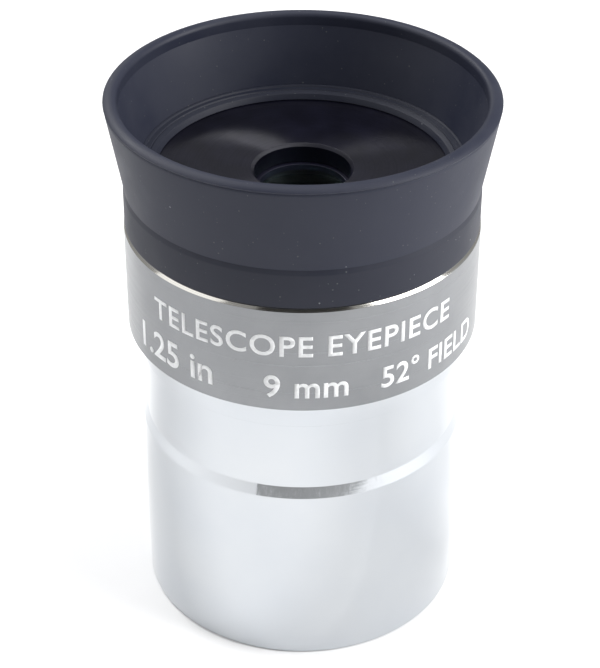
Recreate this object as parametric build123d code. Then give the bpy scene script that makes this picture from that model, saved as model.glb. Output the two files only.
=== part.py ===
from build123d import *
import os

# 9 mm telescope eyepiece for a 1.25 inch focuser, in millimetres.
# The origin is the centre of the nosepiece's bottom end. +Z is the optical axis,
# towards the eye. Every piece is turned about that axis.

# ---- driving dimensions ----

# Nosepiece barrel: a standard 1.25 inch (31.7 mm) push fit with a safety undercut.
BARREL_R = 15.85
UNDERCUT_R = 15.50
LOWER_LAND_TOP = 19.41
UNDERCUT_BOTTOM = 20.57
UNDERCUT_TOP = 27.88
BARREL_SHOULDER = 30.48
BARREL_TOP = 35.50
BARREL_RELIEF_R = 14.25
SPIGOT_R = 14.95
FILTER_R = 13.93
FILTER_START = 0.40
FILTER_END = 5.40
FILTER_MOUTH_R = 14.35

# Housing: the grey band, with a spigot above it that carries the rubber eyecup.
HOUSING_R = 16.955
HOUSING_TOP = 41.43
HOUSING_BEVEL = 0.305
CUP_SPIGOT_R = 15.60
CUP_SPIGOT_TOP = 45.20
GROOVE_BOTTOM = 42.90
GROOVE_TOP = 44.10
GROOVE_DEPTH = 0.45
THREAD_BORE_R = 15.00
LEDGE_Z = 36.50
LEDGE_TOP = 38.60
LEDGE_R = 12.00
UPPER_BORE_R = 13.40
PLATE_BORE_R = 14.30
PLATE_BORE_BOTTOM = 42.60

# Eye plate: the black cap round the eye lens, held down by the eyecup's inner lip.
PLATE_TOP = 46.40
PLATE_R = 15.55
PLATE_SKIRT_R = 14.26
PLATE_SKIRT_WALL = 1.00
PLATE_SKIRT_BOTTOM = 42.80
BOSS_R = 8.00
BOSS_BOTTOM = 44.50
EYE_HOLE_R = 4.55
EYE_HOLE_BEVEL = 0.35

# Rubber eyecup: a sleeve, a flare that folds down over it and a crowned rim.
SLEEVE_R = 16.88
SLEEVE_BOTTOM = 41.50
SLEEVE_BORE_R = 15.65
FOLD_Z = 45.40
FOLD_R = 16.78
FOLD_EDGE = 0.20
LIP_UNDERSIDE = 46.45
LIP_INNER_R = 13.67
LIP_EDGE = (13.99, 47.00)
WELL_CORNER = (15.28, 47.40)
WELL_BACK = (16.10, 47.00)
FLARE_ROOT_R = 16.20
FLARE_TOP = 53.00
FLARE_TOP_R = 18.15
RIM_INNER_R = 17.02
RIM_CROWN_R = 17.52
RIM_CROWN_Z = 54.30
RIM_EDGE_R = 18.32
RIM_EDGE_Z = 53.94

# Lens cartridge: a 9 mm Plossl, two cemented doublets with their crowns face to face.
LENS_R = 5.00
FLINT_CENTRE = 1.20
CROWN_CENTRE = 4.00
CEMENT_RADIUS = 10.28
CROWN_RADIUS = 7.44
AIR_GAP = 0.30
STACK_TOP = 43.80
SPACER_INNER_R = 4.40

# Lens cell: the tube that holds the stack, with a flange clamped under the housing's ledge.
CELL_TOP = 44.40
CELL_BOTTOM = 27.00
CELL_UPPER_R = 7.00
CELL_LOWER_R = 6.80
CELL_SEAT_R = 4.20
CELL_BORE_R = 5.03
CELL_THREAD_R = 5.50
FLANGE_R = 14.90
FLANGE_BOTTOM = 35.55
FLANGE_TOP = 36.45
RING_THICKNESS = 1.00
RING_INNER_R = 4.40
RING_FIT = 0.03
SLOT_WIDTH = 0.80
SLOT_DEPTH = 0.45
STOP_THICKNESS = 0.60
STOP_APERTURE_R = 4.10

EDGE = 0.15  # small chamfer on machined edges

# ---- derived dimensions ----

DOUBLET = FLINT_CENTRE + CROWN_CENTRE
STACK_MIDDLE = STACK_TOP - DOUBLET - AIR_GAP / 2
STACK_BOTTOM = 2 * STACK_MIDDLE - STACK_TOP
RING_TOP = STACK_BOTTOM
THREAD_RELIEF = RING_TOP + 0.20


def turned(*outline):
    """Revolve a closed outline of (radius, height) points about the optical axis."""
    section = Plane.XZ * make_face(Polyline(*outline, close=True))
    return revolve(section, Axis.Z)


def ring(inner_r, outer_r, bottom, top):
    """Make a plain ring, or a disc where the inner radius is zero."""
    return turned((inner_r, bottom), (outer_r, bottom), (outer_r, top), (inner_r, top))


def ball(radius, centre_z):
    """Make a sphere on the optical axis, which gives a lens its curved face."""
    return Pos(0, 0, centre_z) * Sphere(radius)


def mirrored(piece):
    """Turn a piece of the eye doublet over to make its twin in the field doublet."""
    return piece.mirror(Plane.XY.offset(STACK_MIDDLE))


def make_barrel():
    return turned(
        (FILTER_MOUTH_R, 0),
        (BARREL_R - EDGE, 0),
        (BARREL_R, EDGE),
        (BARREL_R, LOWER_LAND_TOP),
        (UNDERCUT_R, UNDERCUT_BOTTOM),
        (UNDERCUT_R, UNDERCUT_TOP),
        (BARREL_R, UNDERCUT_TOP),
        (BARREL_R, BARREL_SHOULDER),
        (SPIGOT_R, BARREL_SHOULDER),
        (SPIGOT_R, BARREL_TOP - EDGE),
        (SPIGOT_R - EDGE, BARREL_TOP),
        (BARREL_RELIEF_R, BARREL_TOP),
        (BARREL_RELIEF_R, FILTER_END),
        (FILTER_R, FILTER_END),
        (FILTER_R, FILTER_START),
    )


def make_housing():
    groove_r = CUP_SPIGOT_R - GROOVE_DEPTH
    return turned(
        (THREAD_BORE_R + EDGE, BARREL_SHOULDER),
        (HOUSING_R - EDGE, BARREL_SHOULDER),
        (HOUSING_R, BARREL_SHOULDER + EDGE),
        (HOUSING_R, HOUSING_TOP - HOUSING_BEVEL),
        (HOUSING_R - HOUSING_BEVEL, HOUSING_TOP),
        (CUP_SPIGOT_R, HOUSING_TOP),
        (CUP_SPIGOT_R, GROOVE_BOTTOM),
        (groove_r, GROOVE_BOTTOM),
        (groove_r, GROOVE_TOP),
        (CUP_SPIGOT_R, GROOVE_TOP),
        (CUP_SPIGOT_R, CUP_SPIGOT_TOP),
        (PLATE_BORE_R, CUP_SPIGOT_TOP),
        (PLATE_BORE_R, PLATE_BORE_BOTTOM),
        (UPPER_BORE_R, PLATE_BORE_BOTTOM),
        (UPPER_BORE_R, LEDGE_TOP),
        (LEDGE_R, LEDGE_TOP),
        (LEDGE_R, LEDGE_Z),
        (THREAD_BORE_R, LEDGE_Z),
        (THREAD_BORE_R, BARREL_SHOULDER + EDGE),
    )


def make_eye_plate():
    skirt_inner_r = PLATE_SKIRT_R - PLATE_SKIRT_WALL
    return turned(
        (EYE_HOLE_R, BOSS_BOTTOM),
        (BOSS_R, BOSS_BOTTOM),
        (BOSS_R, CUP_SPIGOT_TOP),
        (skirt_inner_r, CUP_SPIGOT_TOP),
        (skirt_inner_r, PLATE_SKIRT_BOTTOM),
        (PLATE_SKIRT_R, PLATE_SKIRT_BOTTOM),
        (PLATE_SKIRT_R, CUP_SPIGOT_TOP),
        (PLATE_R, CUP_SPIGOT_TOP),
        (PLATE_R, PLATE_TOP - EDGE),
        (PLATE_R - EDGE, PLATE_TOP),
        (EYE_HOLE_R + EYE_HOLE_BEVEL, PLATE_TOP),
        (EYE_HOLE_R, PLATE_TOP - EYE_HOLE_BEVEL),
    )


def make_eyecup_sleeve():
    bead_r = SLEEVE_BORE_R - GROOVE_DEPTH
    bead_bottom = GROOVE_BOTTOM + EDGE
    bead_top = GROOVE_TOP - EDGE
    return turned(
        (SLEEVE_BORE_R, SLEEVE_BOTTOM),
        (SLEEVE_R - EDGE, SLEEVE_BOTTOM),
        (SLEEVE_R, SLEEVE_BOTTOM + EDGE),
        (SLEEVE_R, FOLD_Z - FOLD_EDGE),
        (FOLD_R, FOLD_Z),
        (FLARE_ROOT_R, FOLD_Z),
        WELL_BACK,
        WELL_CORNER,
        LIP_EDGE,
        (LIP_INNER_R, LIP_UNDERSIDE),
        (SLEEVE_BORE_R, LIP_UNDERSIDE),
        (SLEEVE_BORE_R, bead_top),
        (bead_r, bead_top),
        (bead_r, bead_bottom),
        (SLEEVE_BORE_R, bead_bottom),
    )


def make_eyecup_flare():
    return turned(
        (FLARE_ROOT_R, FOLD_Z),
        (FOLD_R, FOLD_Z),
        (FLARE_TOP_R, FLARE_TOP),
        (RIM_INNER_R, FLARE_TOP),
        WELL_CORNER,
        WELL_BACK,
    )


def make_eyecup_rim():
    inner_round = RIM_CROWN_R - RIM_INNER_R
    inner_top = RIM_CROWN_Z - inner_round
    crown = (RIM_CROWN_R, RIM_CROWN_Z)
    edge = (RIM_EDGE_R, RIM_EDGE_Z)
    outline = [
        Line((RIM_INNER_R, inner_top), (RIM_INNER_R, FLARE_TOP)),
        Line((RIM_INNER_R, FLARE_TOP), (FLARE_TOP_R, FLARE_TOP)),
        Line((FLARE_TOP_R, FLARE_TOP), edge),
        TangentArc(crown, edge, tangent=(1, 0)),
        CenterArc((RIM_CROWN_R, inner_top), inner_round, 90, 90),
    ]
    return revolve(Plane.XZ * make_face(outline), Axis.Z)


def make_eye_flint():
    blank = ring(0, LENS_R, STACK_TOP - DOUBLET, STACK_TOP)
    return blank - ball(CEMENT_RADIUS, STACK_TOP - FLINT_CENTRE - CEMENT_RADIUS)


def make_eye_crown():
    blank = ring(0, LENS_R, STACK_TOP - DOUBLET, STACK_TOP)
    cemented_face = ball(CEMENT_RADIUS, STACK_TOP - FLINT_CENTRE - CEMENT_RADIUS)
    inner_face = ball(CROWN_RADIUS, STACK_TOP - DOUBLET + CROWN_RADIUS)
    return blank & cemented_face & inner_face


def make_lens_spacer():
    sag = CROWN_RADIUS - (CROWN_RADIUS**2 - SPACER_INNER_R**2) ** 0.5
    half = AIR_GAP / 2 + sag
    return ring(SPACER_INNER_R, LENS_R, STACK_MIDDLE - half, STACK_MIDDLE + half)


def make_lens_cell():
    return turned(
        (CELL_THREAD_R, CELL_BOTTOM),
        (CELL_LOWER_R, CELL_BOTTOM),
        (CELL_LOWER_R, FLANGE_BOTTOM),
        (FLANGE_R, FLANGE_BOTTOM),
        (FLANGE_R, FLANGE_TOP),
        (CELL_UPPER_R, FLANGE_TOP),
        (CELL_UPPER_R, CELL_TOP - EDGE),
        (CELL_UPPER_R - EDGE, CELL_TOP),
        (CELL_SEAT_R, CELL_TOP),
        (CELL_SEAT_R, STACK_TOP),
        (CELL_BORE_R, STACK_TOP),
        (CELL_BORE_R, THREAD_RELIEF),
        (CELL_THREAD_R, THREAD_RELIEF),
    )


def make_retaining_ring():
    outer_r = CELL_THREAD_R - RING_FIT
    bottom = RING_TOP - RING_THICKNESS
    plain = ring(RING_INNER_R, outer_r, bottom, RING_TOP)
    spanner_slot = Pos(0, 0, bottom) * Box(3 * outer_r, SLOT_WIDTH, 2 * SLOT_DEPTH)
    return plain - spanner_slot


def make_field_stop():
    return ring(STOP_APERTURE_R, CELL_THREAD_R, CELL_BOTTOM, CELL_BOTTOM + STOP_THICKNESS)


pieces = {
    "barrel": make_barrel(),
    "housing": make_housing(),
    "eye_plate": make_eye_plate(),
    "eyecup_sleeve": make_eyecup_sleeve(),
    "eyecup_flare": make_eyecup_flare(),
    "eyecup_rim": make_eyecup_rim(),
    "lens_cell": make_lens_cell(),
    "eye_flint": make_eye_flint(),
    "eye_crown": make_eye_crown(),
    "lens_spacer": make_lens_spacer(),
    "field_crown": mirrored(make_eye_crown()),
    "field_flint": mirrored(make_eye_flint()),
    "retaining_ring": make_retaining_ring(),
    "field_stop": make_field_stop(),
}

os.makedirs("parts", exist_ok=True)
for name, piece in pieces.items():
    export_step(piece, f"parts/{name}.step")
    print(name, "volume", round(piece.volume, 1), "mm3")
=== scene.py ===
"""A 9 mm telescope eyepiece: turned metal, a moulded rubber eyecup and coated lenses.

Outlines are (radius, height) pairs in millimetres in the CAD frame, with the optical axis on +Z.
"""
import math

import bmesh
import bpy
from mathutils import Matrix, Vector


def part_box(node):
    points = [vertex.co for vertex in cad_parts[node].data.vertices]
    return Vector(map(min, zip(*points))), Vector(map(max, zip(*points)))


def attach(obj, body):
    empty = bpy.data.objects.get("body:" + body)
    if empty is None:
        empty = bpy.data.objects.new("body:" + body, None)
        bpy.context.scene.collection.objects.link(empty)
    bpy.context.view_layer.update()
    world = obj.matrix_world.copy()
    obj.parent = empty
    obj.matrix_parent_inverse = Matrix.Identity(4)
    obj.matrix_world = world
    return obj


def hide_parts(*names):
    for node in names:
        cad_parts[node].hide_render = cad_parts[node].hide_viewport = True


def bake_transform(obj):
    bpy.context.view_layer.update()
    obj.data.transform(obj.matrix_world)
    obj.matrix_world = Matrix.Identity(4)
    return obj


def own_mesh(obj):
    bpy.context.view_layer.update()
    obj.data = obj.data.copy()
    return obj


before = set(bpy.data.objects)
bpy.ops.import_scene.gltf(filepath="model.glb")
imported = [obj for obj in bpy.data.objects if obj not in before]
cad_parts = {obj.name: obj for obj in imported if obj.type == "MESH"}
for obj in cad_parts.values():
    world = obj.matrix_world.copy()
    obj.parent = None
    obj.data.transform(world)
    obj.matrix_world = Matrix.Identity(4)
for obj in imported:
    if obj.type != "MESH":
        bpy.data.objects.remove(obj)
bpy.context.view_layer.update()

MM = 0.001

# ---------------------------------------------------------------- sizes from the frame


def span(node):
    """Outer radius, bottom and top of a turned CAD node, in millimetres."""
    low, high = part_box(node)
    return high[0] / MM, low[2] / MM, high[2] / MM


BARREL_R, BARREL_BOTTOM, BARREL_TOP = span("barrel")
BAND_R, SHOULDER, CUP_SPIGOT_TOP = span("housing")
PLATE_R, PLATE_SKIRT_BOTTOM, PLATE_TOP = span("eye_plate")
SLEEVE_R, SLEEVE_BOTTOM, WELL_Z = span("eyecup_sleeve")
FLARE_R, FOLD_Z, FLARE_TOP = span("eyecup_flare")
RIM_R, RIM_BOTTOM, RIM_TOP = span("eyecup_rim")
FLANGE_R, CELL_BOTTOM, CELL_TOP = span("lens_cell")
LENS_R, _, STACK_TOP = span("eye_flint")
CROWN_BOTTOM = span("eye_crown")[1]
STACK_MIDDLE = (span("lens_spacer")[1] + span("lens_spacer")[2]) / 2

# Barrel.
LAND_TOP = 19.41
UNDERCUT_R = 15.50
UNDERCUT_BOTTOM = 20.57
UNDERCUT_TOP = 27.88
MALE_THREAD_R = 14.95
MALE_ROOT = 0.34
MALE_PITCH = 0.75
BARREL_BORE_R = 14.25
FILTER_R = 13.93
FILTER_DEPTH = 0.26
FILTER_PITCH = 0.60
FILTER_SPAN = (0.55, 5.25)

# Housing.
BAND_TOP = 41.43
BAND_BEVEL = 0.305
CUP_SPIGOT_R = 15.60
GROOVE = (42.90, 44.10, 15.15)
HOUSING_BORE_R = 15.00
LEDGE_Z = 36.50
LEDGE_TOP = 38.60
LEDGE_R = 12.00
UPPER_BORE_R = 13.40
PLATE_BORE = (14.30, 42.60)

# Eye plate.
EYE_HOLE_R = 4.55
EYE_BEVEL = 0.28
BOSS = (8.00, 44.50)
SKIRT = (13.26, 14.26)

# Eyecup.
SLEEVE_BORE_R = 15.65
FOLD_R = 16.78
LIP_INNER_R = 13.67
LIP_UNDERSIDE = PLATE_TOP + 0.05
LIP_EDGE = (13.99, 47.00)
WELL_R = 15.28
RIM_INNER_R = 17.02
RIM_CROWN_R = 17.52
RIM_EDGE_Z = 53.94
SKIN_INNER_R = 17.00
SKIN_THICKNESS = 0.70
ROLL_START_Z = FOLD_Z + 1.00
WALL_SKIN = 0.12
# Share of the way across the lip and depth there, for its moulded steps.
LIP_STEPS = ((0.16, 0.0), (0.22, 0.09), (0.52, 0.0), (0.58, 0.08), (0.66, 0.0))
# Drop below the rim's edge and inset from the flare's cone, for the crease under the lip.
RIM_CREASE = ((0.45, 0.0), (0.28, 0.01), (0.16, 0.07))

# Lens cell and lenses.
CELL_UPPER_R = 7.00
CELL_LOWER_R = 6.80
CELL_SEAT_R = 4.20
CELL_BORE_R = 5.03
CELL_THREAD_R = 5.50
FLANGE = (35.55, 36.45)
CEMENT_RADIUS = 10.28
CROWN_RADIUS = 7.44
FLINT_CENTRE = 1.20

# Lettering: clearance off the band, thickness, stroke weight and width of its bent strips.
PRINT_GAP = 0.004
PRINT_THICKNESS = 0.012
PRINT_WEIGHT = 0.016
PRINT_STRIP = 0.5

SECTORS = 288
FINE = 6  # segments in a rounded corner

# ---------------------------------------------------------------- mesh helpers


def rounded(points, steps=FINE):
    """Round each corner of a closed outline that gives a third value, its radius."""
    out = []
    count = len(points)
    for i, point in enumerate(points):
        here = Vector(point[:2])
        if len(point) < 3:
            out.append((here.x, here.y))
            continue
        back = (Vector(points[i - 1][:2]) - here).normalized()
        ahead = (Vector(points[(i + 1) % count][:2]) - here).normalized()
        half = back.angle(ahead) / 2
        middle = here + (back + ahead).normalized() * (point[2] / math.sin(half))
        start = here + back * (point[2] / math.tan(half)) - middle
        end = here + ahead * (point[2] / math.tan(half)) - middle
        turn = start.angle_signed(end)
        for k in range(steps + 1):
            spoke = start.copy()
            spoke.rotate(Matrix.Rotation(-turn * k / steps, 2))
            out.append((middle.x + spoke.x, middle.y + spoke.y))
    return out


def arc(centre, radius, start, end, steps):
    """Points round an arc in an outline, with its angles in degrees."""
    found = []
    for k in range(steps + 1):
        a = math.radians(start + (end - start) * k / steps)
        found.append((centre[0] + radius * math.cos(a), centre[1] + radius * math.sin(a)))
    return found


def rows(radius, bottom, top, step):
    """Evenly spaced points up a wall, close enough together to carry a thread."""
    count = max(1, round(abs(top - bottom) / step))
    return [(radius, bottom + (top - bottom) * k / count) for k in range(count + 1)]


def thread(radius, bottom, top, pitch, depth):
    """A right-hand screw thread on a wall. A positive depth cuts away from the axis."""

    def shift(r, z, angle):
        if abs(r - radius) > 1e-6 or not bottom < z < top:
            return 0.0
        phase = (z / pitch - angle / (2 * math.pi)) % 1.0
        groove = 1.0 - abs(2.0 * phase - 1.0)
        fade = min(1.0, (z - bottom) / pitch, (top - z) / pitch)
        return depth * min(1.0, 1.25 * groove) * fade

    return shift


def lathe(name, outline, materials, paint=None, threads=(), sectors=SECTORS, sharp=32):
    """Turn a closed outline about the optical axis into a closed mesh."""
    vertices = []
    rings = []
    for r, z in outline:
        ring = []
        if r < 1e-9:
            ring = [len(vertices)] * sectors
            vertices.append((0.0, 0.0, z * MM))
        else:
            for k in range(sectors):
                a = 2 * math.pi * k / sectors
                radius = (r + sum(cut(r, z, a) for cut in threads)) * MM
                ring.append(len(vertices))
                vertices.append((radius * math.cos(a), radius * math.sin(a), z * MM))
        rings.append(ring)
    faces = []
    tints = []
    for i, lower in enumerate(rings):
        after = (i + 1) % len(rings)
        upper = rings[after]
        if lower[0] == lower[1] and upper[0] == upper[1]:
            continue
        tint = 0
        if paint:
            middle_r = (outline[i][0] + outline[after][0]) / 2
            middle_z = (outline[i][1] + outline[after][1]) / 2
            tint = paint(middle_r, middle_z)
        for k in range(sectors):
            n = (k + 1) % sectors
            corners = [lower[k], lower[n], upper[n], upper[k]]
            faces.append(list(dict.fromkeys(corners)))
            tints.append(tint)
    return solid(name, vertices, faces, materials, tints, sharp)


def solid(name, vertices, faces, materials, tints=None, sharp=32):
    """Make a smooth-shaded closed mesh object, with its edges sharp above an angle."""
    mesh = bpy.data.meshes.new(name)
    mesh.from_pydata(vertices, [], faces)
    for material in materials:
        mesh.materials.append(material)
    if tints:
        mesh.polygons.foreach_set("material_index", tints)
    build = bmesh.new()
    build.from_mesh(mesh)
    bmesh.ops.recalc_face_normals(build, faces=build.faces)
    build.to_mesh(mesh)
    build.free()
    mesh.shade_smooth()
    mesh.set_sharp_from_angle(angle=math.radians(sharp))
    made = bpy.data.objects.new(name, mesh)
    bpy.context.collection.objects.link(made)
    return made


def place(piece, body, slot, *nodes):
    """Ride a piece on its body and hide the CAD nodes it stands for; the slot is not used."""
    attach(piece, body)
    if nodes:
        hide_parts(*nodes)
    return piece


# ---------------------------------------------------------------- materials


class Shader:
    """A Principled material with short calls for its nodes."""

    def __init__(self, name, **values):
        self.material = bpy.data.materials.new(name)
        self.material.use_nodes = True
        self.tree = self.material.node_tree
        self.base = self.tree.nodes["Principled BSDF"]
        for key, value in values.items():
            self.base.inputs[key.replace("_", " ")].default_value = value

    def add(self, kind, inputs=None, **settings):
        made = self.tree.nodes.new(kind)
        for key, value in settings.items():
            setattr(made, key, value)
        for key, value in (inputs or {}).items():
            if isinstance(value, bpy.types.NodeSocket):
                self.tree.links.new(value, made.inputs[key])
            else:
                made.inputs[key].default_value = value
        return made

    def link(self, socket, key):
        self.tree.links.new(socket, self.base.inputs[key])

    def place(self):
        """The point on the object, in metres."""
        return self.add("ShaderNodeTexCoord").outputs["Object"]

    def turned(self):
        """The point as (distance from the axis, a little of its angle, height), for tool marks."""
        split = self.add("ShaderNodeSeparateXYZ", {0: self.place()})
        flat = self.add("ShaderNodeCombineXYZ", {0: split.outputs[0], 1: split.outputs[1]})
        length = self.add("ShaderNodeVectorMath", {0: flat.outputs[0]}, operation="LENGTH")
        angle = self.add(
            "ShaderNodeMath", {0: split.outputs[1], 1: split.outputs[0]}, operation="ARCTAN2"
        )
        slow = self.add("ShaderNodeMath", {0: angle.outputs[0], 1: 0.00004}, operation="MULTIPLY")
        joined = self.add(
            "ShaderNodeCombineXYZ",
            {0: length.outputs["Value"], 1: slow.outputs[0], 2: split.outputs[2]},
        )
        return joined.outputs[0]

    def noise(self, vector, scale, detail=2.0, roughness=0.5):
        made = self.add(
            "ShaderNodeTexNoise",
            {"Vector": vector, "Scale": scale, "Detail": detail, "Roughness": roughness},
        )
        return made.outputs["Fac"]

    def spread(self, value, low, high, to_low, to_high):
        made = self.add(
            "ShaderNodeMapRange",
            {"Value": value, "From Min": low, "From Max": high, "To Min": to_low, "To Max": to_high},
        )
        return made.outputs["Result"]

    def mix(self, factor, first, second):
        made = self.add("ShaderNodeMix", {0: factor, 6: first, 7: second}, data_type="RGBA")
        return made.outputs[2]

    def ramp(self, value, *stops):
        made = self.add("ShaderNodeValToRGB", {"Fac": value})
        ends = made.color_ramp.elements
        while len(ends) < len(stops):
            ends.new(0.5)
        for end, (position, colour) in zip(ends, stops):
            end.position = position
            end.color = (*colour, 1.0)
        return made.outputs["Color"]

    def bump(self, height, strength, distance, before=None):
        inputs = {"Height": height, "Strength": strength, "Distance": distance}
        if before:
            inputs["Normal"] = before
        made = self.add("ShaderNodeBump", inputs)
        return made.outputs["Normal"]


def chrome():
    """Polished chrome plate with faint turning rings and hairline wear."""
    s = Shader("chrome_plate", Metallic=1.0, Roughness=0.06)
    place_at = s.place()
    cloud = s.noise(place_at, 90.0, 3.0)
    s.link(s.ramp(cloud, (0.3, (0.545, 0.57, 0.60)), (0.7, (0.585, 0.605, 0.625))), "Base Color")
    rings = s.noise(s.turned(), 5200.0, 3.0, 0.6)
    stretched = s.add("ShaderNodeMapping", {"Vector": place_at, "Scale": (1.0, 1.0, 0.08)})
    scuffs = s.noise(stretched.outputs[0], 2600.0, 4.0, 0.7)
    rough = s.spread(scuffs, 0.45, 0.85, 0.045, 0.19)
    s.link(rough, "Roughness")
    s.link(s.bump(rings, 0.05, 0.00002), "Normal")
    return s.material


def machined_black(name, shade, rough, brushed=0.75):
    """Black anodised, turned metal whose tool marks catch the light."""
    s = Shader(name, Metallic=0.35, Roughness=rough, Anisotropic=brushed)
    s.base.inputs["Specular IOR Level"].default_value = 0.5
    turned = s.turned()
    rings = s.noise(turned, 6500.0, 3.0, 0.65)
    soft = s.noise(s.place(), 350.0, 3.0)
    dark = (shade * 0.8, shade * 0.8, shade * 1.6)
    pale = (shade * 1.4, shade * 1.4, shade * 2.8)
    s.link(s.ramp(soft, (0.35, dark), (0.75, pale)), "Base Color")
    s.link(s.spread(rings, 0.3, 0.7, rough - 0.06, rough + 0.08), "Roughness")
    tangent = s.add("ShaderNodeTangent", direction_type="RADIAL", axis="Z")
    s.link(tangent.outputs[0], "Tangent")
    s.link(s.bump(rings, 0.12, 0.00002), "Normal")
    return s.material


def grey_anodised():
    """Satin gunmetal anodising over fine turning lines."""
    s = Shader("grey_anodised", Metallic=0.85, Roughness=0.32)
    turned = s.turned()
    lines = s.noise(turned, 7800.0, 3.0, 0.6)
    cloud = s.noise(s.place(), 160.0, 4.0, 0.6)
    s.link(s.ramp(cloud, (0.3, (0.245, 0.252, 0.262)), (0.7, (0.285, 0.292, 0.302))), "Base Color")
    s.link(s.spread(lines, 0.3, 0.7, 0.27, 0.38), "Roughness")
    s.link(s.bump(lines, 0.10, 0.00002), "Normal")
    return s.material


def cut_metal():
    """The bright cut left by the bevelling tool."""
    s = Shader("bright_bevel", Metallic=1.0, Roughness=0.12)
    rings = s.noise(s.turned(), 9000.0, 2.0)
    s.link(s.ramp(rings, (0.3, (0.60, 0.58, 0.53)), (0.7, (0.72, 0.71, 0.68))), "Base Color")
    s.link(s.spread(rings, 0.3, 0.7, 0.08, 0.18), "Roughness")
    return s.material


def rubber(name, shade=1.0):
    """Moulded black rubber: a soft slate bloom, fine grain and specks of dust. A shade below 1 gives a
    darker copy, which is painted shade.
    """
    s = Shader(name, Roughness=0.55)
    s.base.inputs["Specular IOR Level"].default_value = 0.32
    at = s.place()
    bloom = s.noise(at, 130.0, 4.0, 0.6)
    deep = tuple(c * shade for c in (0.014, 0.017, 0.034))
    pale = tuple(c * shade for c in (0.025, 0.028, 0.045))
    tint = s.ramp(bloom, (0.3, deep), (0.72, pale))
    for scale, share, reach, dust in ((2600.0, 0.80, 0.20, 0.07), (1300.0, 0.93, 0.13, 0.18)):
        grit = s.add("ShaderNodeTexVoronoi", {"Vector": at, "Scale": scale, "Randomness": 1.0})
        size = s.add("ShaderNodeSeparateColor", {0: grit.outputs["Color"]})
        limit = s.spread(size.outputs[0], share, 1.0, 0.0, reach)
        speck = s.add("ShaderNodeMath", {0: grit.outputs["Distance"], 1: limit}, operation="LESS_THAN")
        tint = s.mix(speck.outputs[0], tint, (dust, dust * 1.05, dust * 1.15, 1.0))
    s.link(tint, "Base Color")
    grain = s.noise(at, 5200.0, 3.0, 0.6)
    s.link(s.spread(bloom, 0.3, 0.7, 0.48, 0.62), "Roughness")
    wave = s.noise(at, 900.0, 2.0)
    s.link(s.bump(grain, 0.18, 0.00003, s.bump(wave, 0.10, 0.00005)), "Normal")
    return s.material


def paint_white():
    """Silk-screened white print, slightly uneven."""
    s = Shader("white_print", Roughness=0.5)
    uneven = s.noise(s.place(), 3200.0, 3.0)
    s.link(s.ramp(uneven, (0.25, (0.74, 0.75, 0.76)), (0.75, (0.84, 0.85, 0.86))), "Base Color")
    s.link(s.spread(uneven, 0.3, 0.7, 0.42, 0.58), "Roughness")
    return s.material


def flat_black(name):
    """Matte black paint that kills stray light inside the barrel and cell."""
    s = Shader(name, Roughness=0.7)
    grain = s.noise(s.place(), 4200.0, 4.0, 0.6)
    s.link(s.ramp(grain, (0.3, (0.010, 0.010, 0.011)), (0.8, (0.022, 0.022, 0.024))), "Base Color")
    s.link(s.spread(grain, 0.3, 0.7, 0.6, 0.8), "Roughness")
    s.link(s.bump(grain, 0.25, 0.00004), "Normal")
    return s.material


def coated_glass(name, ior, tint, coat):
    """Lens glass with a thin anti-reflection coat, whose colour shows in its reflections."""
    s = Shader(name, Roughness=0.0, IOR=ior)
    s.base.inputs["Transmission Weight"].default_value = 1.0
    s.base.inputs["Specular Tint"].default_value = (*coat, 1.0)
    smears = s.noise(s.place(), 420.0, 3.0)
    pale = tuple(min(1.0, c * 1.02) for c in tint)
    s.link(s.ramp(smears, (0.3, tint), (0.7, pale)), "Base Color")
    s.link(s.spread(smears, 0.55, 0.9, 0.0, 0.03), "Roughness")
    return s.material


CHROME = chrome()
GREY = grey_anodised()
BEVEL = cut_metal()
RUBBER = rubber("moulded_rubber")
# Darker copies of the same moulded rubber: painted shade on the lip at the bottom of the cup and on
# the sleeve below the fold.
SHADED_LIP_RUBBER = rubber("lip_rubber_painted_shade", 0.8)
SHADED_SLEEVE_RUBBER = rubber("sleeve_rubber_painted_shade", 0.78)
PRINT = paint_white()
BLACK_PAINT = flat_black("bore_black")
CELL_BLACK = machined_black("cell_anodised", 0.016, 0.42)
PLATE_BLACK = machined_black("eye_plate_black", 0.0075, 0.37, 1.0)
FLINT_GLASS = coated_glass("flint_glass", 1.62, (0.93, 0.97, 0.95), (0.30, 0.95, 0.80))
CROWN_GLASS = coated_glass("crown_glass", 1.52, (0.96, 0.98, 0.97), (0.35, 0.90, 0.95))

# ---------------------------------------------------------------- camera, light and floor


def make_camera():
    """The camera stands in front of the eyepiece and looks down into its cup."""
    pitch = math.radians(33.70)
    yaw = math.radians(-0.055)
    roll = math.radians(0.238)
    ahead = Vector((0, math.cos(pitch), -math.sin(pitch)))
    up = Vector((0, math.sin(pitch), math.cos(pitch)))
    side = Vector((1, 0, 0))
    ahead, side = (
        ahead * math.cos(yaw) + side * math.sin(yaw),
        side * math.cos(yaw) - ahead * math.sin(yaw),
    )
    side, up = (
        side * math.cos(roll) + up * math.sin(roll),
        up * math.cos(roll) - side * math.sin(roll),
    )
    data = bpy.data.cameras.new("camera")
    data.lens = 107.40
    data.sensor_width = 36.0
    data.clip_start = 0.01
    camera = bpy.data.objects.new("camera", data)
    bpy.context.collection.objects.link(camera)
    turn = Matrix((side, up, -ahead)).transposed().to_4x4()
    camera.matrix_world = Matrix.Translation((0, -0.16394, 0.13694)) @ turn
    bpy.context.scene.camera = camera


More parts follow.
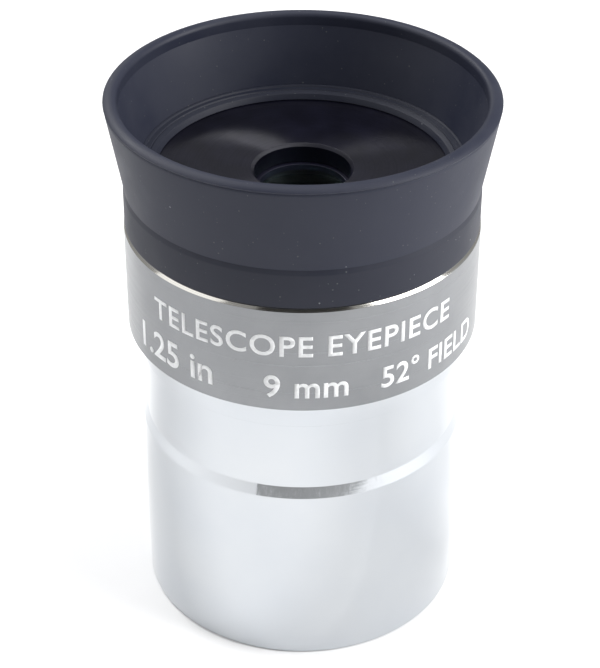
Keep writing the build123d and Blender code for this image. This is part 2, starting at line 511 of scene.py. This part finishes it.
def make_light(name, azimuth, height, distance, size, power, colour=(1, 1, 1)):
    """A soft box aimed at the eyepiece. Azimuth 0 is the camera's side, 90 is +X."""
    data = bpy.data.lights.new(name, "AREA")
    data.shape = "RECTANGLE"
    data.size, data.size_y = size
    data.energy = power
    data.color = colour
    light = bpy.data.objects.new(name, data)
    bpy.context.collection.objects.link(light)
    a = math.radians(azimuth)
    at = Vector((math.sin(a) * distance, -math.cos(a) * distance, height))
    target = Vector((0, 0, 0.03))
    aim = (at - target).to_track_quat("Z", "Y").to_matrix().to_4x4()
    light.matrix_world = Matrix.Translation(at) @ aim
    return light


def make_flag(name, azimuth, reach, half_angle, near_height, far_height, shade):
    """A dark card that only reflections see, a sector of a ring in front of the eyepiece."""
    vertices = []
    for distance, height in ((reach[0], near_height), (reach[1], far_height)):
        for k in range(-4, 5):
            a = math.radians(azimuth + half_angle * k / 4)
            vertices.append((math.sin(a) * distance, -math.cos(a) * distance, height))
    faces = [(k, k + 1, k + 10, k + 9) for k in range(8)]
    mesh = bpy.data.meshes.new(name)
    mesh.from_pydata(vertices, [], faces)
    s = Shader(name, Roughness=0.9)
    cloth = s.noise(s.place(), 60.0, 2.0)
    s.link(s.ramp(cloth, (0.3, (shade,) * 3), (0.7, (shade * 1.1,) * 3)), "Base Color")
    mesh.materials.append(s.material)
    flag = bpy.data.objects.new(name, mesh)
    bpy.context.collection.objects.link(flag)
    flag.visible_camera = False
    flag.visible_diffuse = False
    flag.visible_shadow = False


def make_floor():
    """A plain, pale sheet under the eyepiece."""
    s = Shader("pale_floor", Roughness=0.8)
    cloud = s.noise(s.place(), 8.0, 2.0)
    s.link(s.ramp(cloud, (0.3, (0.93, 0.93, 0.935)), (0.7, (0.95, 0.95, 0.955))), "Base Color")
    half = 1.5
    mesh = bpy.data.meshes.new("floor")
    corners = [(-half, -half, 0), (half, -half, 0), (half, half, 0), (-half, half, 0)]
    mesh.from_pydata(corners, [], [(0, 1, 2, 3)])
    mesh.materials.append(s.material)
    floor = bpy.data.objects.new("floor", mesh)
    bpy.context.collection.objects.link(floor)
    floor.location.z = -0.00005


def make_studio():
    scene = bpy.context.scene
    scene.view_settings.view_transform = "Standard"
    world = bpy.data.worlds.new("studio")
    world.use_nodes = True
    world.node_tree.nodes["Background"].inputs["Color"].default_value = (1.0, 1.0, 1.0, 1.0)
    world.node_tree.nodes["Background"].inputs["Strength"].default_value = 0.35
    scene.world = world
    make_light("key", -135, 0.34, 0.33, (0.20, 0.20), 1.0)
    make_light("right_box", 78, 0.22, 0.34, (0.24, 0.42), 2.0)
    make_light("left_box", -82, 0.24, 0.36, (0.26, 0.34), 0.28)
    make_light("glint", -104, 0.28, 0.24, (0.02, 0.02), 0.14)
    make_light("top_box", 170, 0.60, 0.06, (0.55, 0.55), 1.2)
    make_flag("flag_low", 13, (0.16, 1.2), 41, 0.0003, 0.0003, 0.35)
    make_flag("flag_high", 2, (0.20, 0.50), 36, 0.52, 0.30, 0.02)


make_camera()
make_floor()
make_studio()

# ---------------------------------------------------------------- metal pieces


def make_nosepiece():
    """The chrome barrel, with a filter thread in its mouth and a thread for the housing."""
    outline = rounded([
        (FILTER_R + 0.42, BARREL_BOTTOM, 0.05),
        (BARREL_R, BARREL_BOTTOM, 0.16),
        (BARREL_R, LAND_TOP, 0.06),
        (UNDERCUT_R, UNDERCUT_BOTTOM, 0.10),
        (UNDERCUT_R, UNDERCUT_TOP, 0.05),
        (BARREL_R, UNDERCUT_TOP, 0.06),
        (BARREL_R, SHOULDER, 0.06),
        (MALE_THREAD_R - MALE_ROOT, SHOULDER, 0.05),
        (MALE_THREAD_R - MALE_ROOT, SHOULDER + 0.60),
    ])
    outline += rows(MALE_THREAD_R, SHOULDER + 0.75, BARREL_TOP - 0.20, 0.06)
    outline += [(MALE_THREAD_R - 0.25, BARREL_TOP), (BARREL_BORE_R, BARREL_TOP)]
    outline += [(BARREL_BORE_R, FILTER_SPAN[1] + 0.45), (BARREL_BORE_R, FILTER_SPAN[1] + 0.15)]
    outline += rows(FILTER_R, FILTER_SPAN[1], FILTER_SPAN[0], 0.05)
    cuts = (
        thread(MALE_THREAD_R, SHOULDER + 0.75, BARREL_TOP - 0.20, MALE_PITCH, -MALE_ROOT),
        thread(FILTER_R, *FILTER_SPAN, FILTER_PITCH, FILTER_DEPTH),
    )

    def paint(r, z):
        inside = r < BARREL_BORE_R + 0.01 and z > FILTER_SPAN[1] + 0.10
        return 1 if inside and z < BARREL_TOP else 0

    piece = lathe("nosepiece", outline, [CHROME, BLACK_PAINT], paint, cuts)
    place(piece, "barrel", "chrome_barrel", "barrel")


def make_housing():
    """The grey band, its bright bevel, the eyecup's spigot and the threaded bore."""
    outline = rounded([
        (HOUSING_BORE_R + 0.35, SHOULDER, 0.05),
        (BAND_R, SHOULDER, 0.10),
        (BAND_R, BAND_TOP - BAND_BEVEL, 0.03),
        (BAND_R - BAND_BEVEL, BAND_TOP, 0.04),
        (CUP_SPIGOT_R, BAND_TOP, 0.05),
        (CUP_SPIGOT_R, GROOVE[0], 0.05),
        (GROOVE[2], GROOVE[0]),
        (GROOVE[2], GROOVE[1]),
        (CUP_SPIGOT_R, GROOVE[1], 0.05),
        (CUP_SPIGOT_R, CUP_SPIGOT_TOP, 0.10),
        (PLATE_BORE[0], CUP_SPIGOT_TOP),
        (PLATE_BORE[0], PLATE_BORE[1]),
        (UPPER_BORE_R, PLATE_BORE[1]),
        (UPPER_BORE_R, LEDGE_TOP),
        (LEDGE_R, LEDGE_TOP),
        (LEDGE_R, LEDGE_Z),
        (HOUSING_BORE_R, LEDGE_Z),
    ])
    outline += rows(HOUSING_BORE_R, LEDGE_Z - 0.6, SHOULDER + 0.35, 0.06)
    cuts = (thread(HOUSING_BORE_R, SHOULDER + 0.35, LEDGE_Z - 0.6, MALE_PITCH, MALE_ROOT),)

    def paint(r, z):
        on_bevel = BAND_R - BAND_BEVEL - 0.01 < r < BAND_R - 0.005 and z > BAND_TOP - BAND_BEVEL - 0.02
        return 1 if on_bevel else 0

    piece = lathe("housing_shell", outline, [GREY, BEVEL], paint, cuts)
    place(piece, "housing", "grey_anodised", "housing")


def make_eye_plate():
    """The black cap round the eye lens: a shallow turned dish with a bevelled hole."""
    outline = rounded([
        (EYE_HOLE_R, BOSS[1]),
        (BOSS[0], BOSS[1]),
        (BOSS[0], CUP_SPIGOT_TOP),
        (SKIRT[0], CUP_SPIGOT_TOP),
        (SKIRT[0], PLATE_SKIRT_BOTTOM),
        (SKIRT[1], PLATE_SKIRT_BOTTOM),
        (SKIRT[1], CUP_SPIGOT_TOP),
        (PLATE_R, CUP_SPIGOT_TOP, 0.05),
        (PLATE_R, PLATE_TOP, 0.15),
        (EYE_HOLE_R + EYE_BEVEL, PLATE_TOP, 0.03),
        (EYE_HOLE_R, PLATE_TOP - EYE_BEVEL, 0.03),
    ])
    piece = lathe("eye_plate_cap", outline, [PLATE_BLACK])
    place(piece, "housing", "black_plate", "eye_plate")


# ---------------------------------------------------------------- rubber eyecup


def flare_radius(z):
    """Outer radius of the rubber flare, a straight cone from the fold to the rim."""
    return FOLD_R + (FLARE_R - FOLD_R) * (z - FOLD_Z) / (FLARE_TOP - FOLD_Z)


def make_eyecup_base():
    """The part of the eyecup that stays put: its sleeve, inner lip and the heel of the fold."""
    bead_r = GROOVE[2] + 0.05
    heel_top = ROLL_START_Z + 0.10
    lip_steps = []
    for part, drop in LIP_STEPS:
        r = WELL_R + (LIP_EDGE[0] - WELL_R) * part
        lip_steps.append((r, WELL_Z + (LIP_EDGE[1] - WELL_Z) * part - drop))
    outline = rounded([
        (SLEEVE_BORE_R, SLEEVE_BOTTOM),
        (SLEEVE_R, SLEEVE_BOTTOM, 0.12),
        (SLEEVE_R, FOLD_Z - 0.50, 0.80),
        (FOLD_R, FOLD_Z),
        (FOLD_R - 0.02, FOLD_Z + 0.02),
        (FOLD_R - 0.03, FOLD_Z + 0.30),
        (FOLD_R + 0.02, heel_top, 0.40),
        (WELL_R + 0.30, heel_top + 0.20),
        (WELL_R, WELL_Z, 0.05),
        *lip_steps,
        (LIP_EDGE[0], LIP_EDGE[1], 0.08),
        (LIP_INNER_R, LIP_UNDERSIDE, 0.04),
        (SLEEVE_BORE_R, LIP_UNDERSIDE),
        (SLEEVE_BORE_R, GROOVE[1] - 0.15),
        (bead_r, GROOVE[1] - 0.15, 0.10),
        (bead_r, GROOVE[0] + 0.15, 0.10),
        (SLEEVE_BORE_R, GROOVE[0] + 0.15),
    ])

    # Faces below the fold take the darker sleeve copy and the lip in the floor of the well takes the
    # darker lip copy, both painted shade.
    def paint(r, z):
        if z < FOLD_Z:
            return 2
        return 1 if r < WELL_R and z > LIP_UNDERSIDE else 0

    piece = lathe("eyecup_base", outline, [RUBBER, SHADED_LIP_RUBBER, SHADED_SLEEVE_RUBBER], paint)
    place(piece, "eyecup", "rubber", "eyecup_sleeve")


def make_eyecup_skin():
    """The outer skin of the flare and its rim, turned as one piece."""
    steps = 44
    outer = []
    inner = []
    start = FOLD_Z
    for k in range(steps + 1):
        z = start + (FLARE_TOP - start) * k / steps
        r = flare_radius(z)
        outer.append((r, z))
        inner.append((max(r - SKIN_THICKNESS, min(r - 0.02, SKIN_INNER_R)), z))
    inner_round = RIM_CROWN_R - RIM_INNER_R
    across = RIM_R - RIM_CROWN_R
    down = RIM_TOP - RIM_EDGE_Z
    crown_round = (across ** 2 + down ** 2) / (2 * down)
    slope = math.degrees(math.acos(across / crown_round))
    rim = [
        (flare_radius(RIM_EDGE_Z - drop) - inset, RIM_EDGE_Z - drop)
        for drop, inset in RIM_CREASE
    ]
    rim.append((RIM_R - 0.03, RIM_EDGE_Z - 0.07))
    rim += arc((RIM_CROWN_R, RIM_TOP - crown_round), crown_round, slope, 90, 22)
    rim += arc((RIM_CROWN_R, RIM_TOP - inner_round), inner_round, 90, 180, 14)[1:]
    rim.append((RIM_INNER_R, RIM_BOTTOM))
    outline = outer + rim + list(reversed(inner))
    piece = lathe("eyecup_skin", outline, [RUBBER])
    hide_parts("eyecup_flare", "eyecup_rim")
    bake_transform(piece)


def make_eyecup_well():
    """The inner wall of the cup, a thin cone from the well up to the rim."""
    steps = 16
    front = []
    back = []
    for k in range(steps + 1):
        part = k / steps
        r = WELL_R + (RIM_INNER_R - WELL_R) * part
        z = WELL_Z + (RIM_BOTTOM - WELL_Z) * part
        front.append((r, z))
        back.append((r + WALL_SKIN, z - WALL_SKIN * 0.3))
    piece = lathe("eyecup_well", front + list(reversed(back)), [RUBBER])
    place(piece, "eyecup", "rubber")
    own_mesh(piece)


# ---------------------------------------------------------------- lens cell and lenses


def make_lens_cell():
    """The cell that holds the stack, ribbed inside so that it throws back no light."""
    outline = rounded([
        (CELL_THREAD_R, CELL_BOTTOM),
        (CELL_LOWER_R, CELL_BOTTOM, 0.15),
        (CELL_LOWER_R, FLANGE[0], 0.20),
        (FLANGE_R, FLANGE[0], 0.08),
        (FLANGE_R, FLANGE[1], 0.08),
        (CELL_UPPER_R, FLANGE[1], 0.20),
        (CELL_UPPER_R, CELL_TOP, 0.15),
        (CELL_SEAT_R, CELL_TOP, 0.05),
        (CELL_SEAT_R, STACK_TOP),
        (CELL_BORE_R, STACK_TOP),
        (CELL_BORE_R, 2 * STACK_MIDDLE - STACK_TOP + 0.20),
    ])
    thread_top = 2 * STACK_MIDDLE - STACK_TOP + 0.15
    outline += rows(CELL_THREAD_R, thread_top, CELL_BOTTOM + 0.70, 0.06)
    cuts = (thread(CELL_THREAD_R, CELL_BOTTOM + 0.70, thread_top, 0.5, 0.20),)
    piece = lathe("cell_body", outline, [CELL_BLACK], None, cuts, sectors=192)
    place(piece, "lens_cell", "black_anodised", "lens_cell")


def cap_points(radius, vertex_z, direction, steps=14):
    """Points from the axis to the lens's edge on a spherical face that curves towards direction."""
    found = []
    for k in range(steps + 1):
        r = LENS_R * k / steps
        sag = radius - math.sqrt(radius * radius - r * r)
        found.append((r, vertex_z + direction * sag))
    return found


def make_lenses():
    """Two cemented doublets, alike and face to face, with blackened edges."""
    cement = STACK_TOP - FLINT_CENTRE

    def paint(r, z):
        return 1 if r > LENS_R - 0.01 else 0

    for end, side in (("eye", 1), ("field", -1)):
        flat = STACK_MIDDLE + side * (STACK_TOP - STACK_MIDDLE)
        joint = STACK_MIDDLE + side * (cement - STACK_MIDDLE)
        inner = STACK_MIDDLE + side * (CROWN_BOTTOM - STACK_MIDDLE)
        film = 0.004 * side
        flint = cap_points(CEMENT_RADIUS, joint + film, -side) + [(LENS_R, flat), (0, flat)]
        crown = cap_points(CEMENT_RADIUS, joint, -side)
        crown += list(reversed(cap_points(CROWN_RADIUS, inner, side)))
        piece = lathe(end + "_flint_lens", flint, [FLINT_GLASS, BLACK_PAINT], paint, sectors=144)
        place(piece, "lens_cell", "flint_glass", end + "_flint")
        piece = lathe(end + "_crown_lens", crown, [CROWN_GLASS, BLACK_PAINT], paint, sectors=144)
        place(piece, "lens_cell", "crown_glass", end + "_crown")


def finish_small_rings():
    """The spacer, retaining ring and field stop keep their CAD shapes."""
    for name in ("lens_spacer", "retaining_ring", "field_stop"):
        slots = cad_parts[name].data.materials
        if not slots:
            slots.append(CELL_BLACK)
        for i in range(len(slots)):
            slots[i] = CELL_BLACK


# ---------------------------------------------------------------- print on the band


def make_print(name, words, angle, base_z, height, spacing=1.0):
    """White lettering wrapped round the band, centred on an angle from the front."""
    data = bpy.data.curves.new(name, "FONT")
    data.body = words
    data.align_x = "CENTER"
    data.size = 1.0
    data.space_character = spacing
    data.offset = PRINT_WEIGHT
    data.resolution_u = 6
    text = bpy.data.objects.new(name, data)
    bpy.context.collection.objects.link(text)
    bpy.context.view_layer.update()
    mesh = bpy.data.meshes.new_from_object(text.evaluated_get(bpy.context.evaluated_depsgraph_get()))
    bpy.data.objects.remove(text)
    scale = height / max(v.co.y for v in mesh.vertices)
    build = bmesh.new()
    build.from_mesh(mesh)
    bmesh.ops.scale(build, vec=(scale, scale, scale), verts=build.verts)
    low = min(v.co.x for v in build.verts)
    high = max(v.co.x for v in build.verts)
    for k in range(int((high - low) / PRINT_STRIP)):
        bmesh.ops.bisect_plane(
            build, geom=build.verts[:] + build.edges[:] + build.faces[:],
            plane_co=(low + (k + 1) * PRINT_STRIP, 0, 0), plane_no=(1, 0, 0),
        )
    face_r = BAND_R + PRINT_GAP
    bottom = build.faces[:]
    top = bmesh.ops.extrude_face_region(build, geom=bottom)
    for v in [g for g in top["geom"] if isinstance(g, bmesh.types.BMVert)]:
        v.co.z = PRINT_THICKNESS
    for v in build.verts:
        a = math.radians(angle) + v.co.x / BAND_R
        r = (face_r + v.co.z) * MM
        v.co = Vector((r * math.sin(a), -r * math.cos(a), (base_z + v.co.y) * MM))
    bmesh.ops.remove_doubles(build, verts=build.verts, dist=1e-7)
    bmesh.ops.recalc_face_normals(build, faces=build.faces)
    build.to_mesh(mesh)
    build.free()
    mesh.materials.clear()
    mesh.materials.append(PRINT)
    piece = bpy.data.objects.new(name, mesh)
    bpy.context.collection.objects.link(piece)
    place(piece, "housing", "grey_anodised")


make_nosepiece()
make_housing()
make_eye_plate()
make_eyecup_base()
make_eyecup_skin()
make_eyecup_well()
make_lens_cell()
make_lenses()
finish_small_rings()
make_print("print_focal_length", "9 mm", 1.5, 31.95, 2.35, 1.05)
make_print("print_kind", "TELESCOPE EYEPIECE", 0.0, 36.45, 2.15, 1.1)
make_print("print_barrel", "1.25 in", -46.0, 31.95, 2.75)
make_print("print_field", "52° FIELD", 47.0, 31.95, 2.35)
